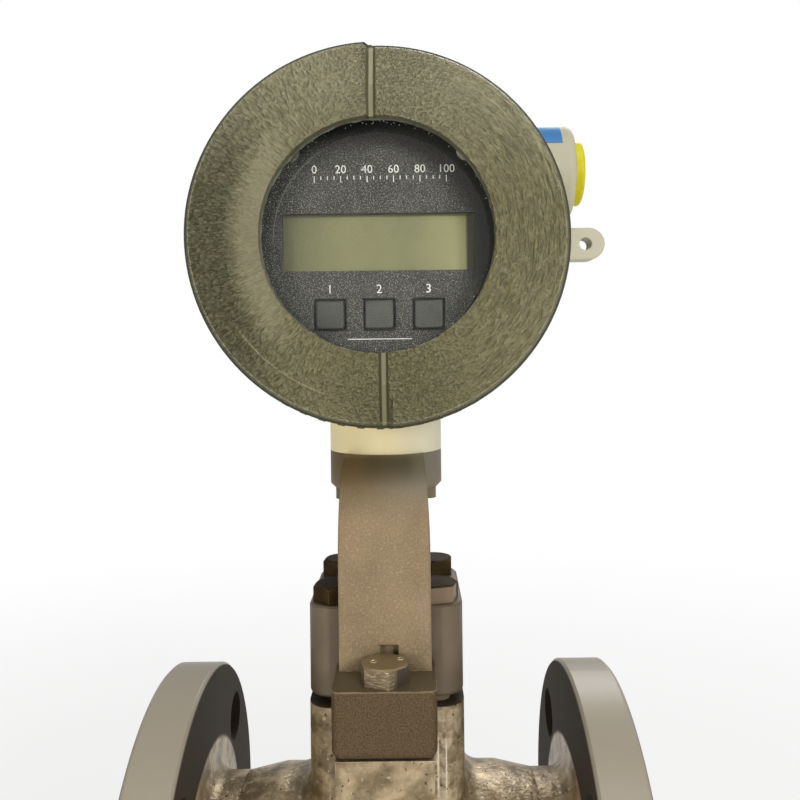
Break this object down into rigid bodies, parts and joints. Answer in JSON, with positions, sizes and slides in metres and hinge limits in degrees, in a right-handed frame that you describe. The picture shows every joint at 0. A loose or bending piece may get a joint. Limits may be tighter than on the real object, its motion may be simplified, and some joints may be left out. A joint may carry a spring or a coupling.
{
  "type": "vortex flow meter",
  "caption": "Flanged vortex flow meter: pipe body with a shedder bar, yoke bracket and a round head with a window, display and keys.",
  "frame": {"origin": "centre of the inlet flange's raised face, on the pipe axis", "axes": "+X along the pipe from inlet to outlet, -Y the way the display faces, +Z from the pipe up to the head"},
  "size_m": [0.17, 0.1524, 0.3651],
  "materials": {
    "cast_body": "cast stainless steel, pickled, lumpy skin",
    "cast_bracket": "shot-blasted cast stainless steel, warm grey",
    "shedder_steel": "machined and blasted stainless steel",
    "bolt_steel": "stainless steel bolt",
    "turned_steel": "turned stainless steel",
    "screw_steel": "plated steel screw",
    "gasket": "dark fibre and graphite",
    "cream_paint": "frosty cream paint, fine texture",
    "olive_paint": "olive green wrinkle paint",
    "blue_film": "plain blue film",
    "yellow_plastic": "moulded yellow plastic",
    "seal_rubber": "black rubber",
    "sealant": "pale sealant",
    "window": "clear tempered glass",
    "bare_aluminium": "turned aluminium",
    "black_panel": "black speckled enamel",
    "lcd_face": "grey-green liquid crystal face",
    "key_plastic": "dark grey moulded cap",
    "green_board": "green solder mask",
    "black_plastic": "black moulding",
    "pillar_brass": "nickelled brass",
    "coil_tape": "yellow coil tape",
    "capacitor_sleeve": "dark blue sleeve"
  },
  "bodies": {
    "meter": {"meter_body": "cast_body", "shedder_bar": "shedder_steel", "shedder_gasket": "gasket", "shedder_bolts": "bolt_steel", "piezo_sensor": "turned_steel", "sensor_gland": "turned_steel", "lead_tube": "turned_steel", "bracket": "cast_bracket", "foot_bolts": "bolt_steel", "collar_screws": "screw_steel", "housing": "cream_paint", "boss_label": "blue_film", "display_panel": "black_panel", "panel_screws": "screw_steel", "lcd_module": "lcd_face", "display_board": "green_board", "key_switches": "black_plastic", "front_pillars": "pillar_brass", "middle_pillars": "pillar_brass", "rear_pillars": "pillar_brass", "amplifier_board": "green_board", "transformer": "coil_tape", "capacitors": "capacitor_sleeve", "circuit_chips": "black_plastic", "terminal_block": "black_plastic", "terminal_screws": "pillar_brass", "block_screws": "screw_steel", "ground_screw": "screw_steel"},
    "front_seal": {"front_o_ring": "seal_rubber"},
    "front_lid": {"front_cover": "olive_paint", "glass_seal": "sealant", "window_glass": "window", "glass_retainer": "bare_aluminium"},
    "rear_seal": {"rear_o_ring": "seal_rubber"},
    "rear_lid": {"rear_cover": "olive_paint"},
    "left_button": {"key_left": "key_plastic"},
    "middle_button": {"key_middle": "key_plastic"},
    "right_button": {"key_right": "key_plastic"},
    "entry_plug": {"conduit_plug": "yellow_plastic"}
  },
  "joints": [
    {"name": "front_cover_travel", "type": "slide", "parent": "meter", "child": "front_seal", "axis": [0, -1, 0], "range_m": [0, 0.012]},
    {"name": "front_cover_turn", "type": "hinge", "parent": "front_seal", "child": "front_lid", "pos_m": [0.085, 0, 0.2303], "axis": [0, -1, 0], "range_deg": [0, 2160]},
    {"name": "rear_cover_travel", "type": "slide", "parent": "meter", "child": "rear_seal", "axis": [0, 1, 0], "range_m": [0, 0.012]},
    {"name": "rear_cover_turn", "type": "hinge", "parent": "rear_seal", "child": "rear_lid", "pos_m": [0.085, 0, 0.2303], "axis": [0, 1, 0], "range_deg": [0, 2160]},
    {"name": "left_key_press", "type": "slide", "parent": "meter", "child": "left_button", "axis": [0, 1, 0], "range_m": [0, 0.0008], "stiffness_N_per_m": 400},
    {"name": "middle_key_press", "type": "slide", "parent": "meter", "child": "middle_button", "axis": [0, 1, 0], "range_m": [0, 0.0008], "stiffness_N_per_m": 400},
    {"name": "right_key_press", "type": "slide", "parent": "meter", "child": "right_button", "axis": [0, 1, 0], "range_m": [0, 0.0008], "stiffness_N_per_m": 400},
    {"name": "plug_pull", "type": "slide", "parent": "meter", "child": "entry_plug", "axis": [1, 0, 0], "range_m": [0, 0.012]}
  ],
  "couplings": [
    {"joint": "front_cover_travel", "follows": "front_cover_turn", "m_per_rad": 0.0003183},
    {"joint": "rear_cover_travel", "follows": "rear_cover_turn", "m_per_rad": 0.0003183}
  ]
}
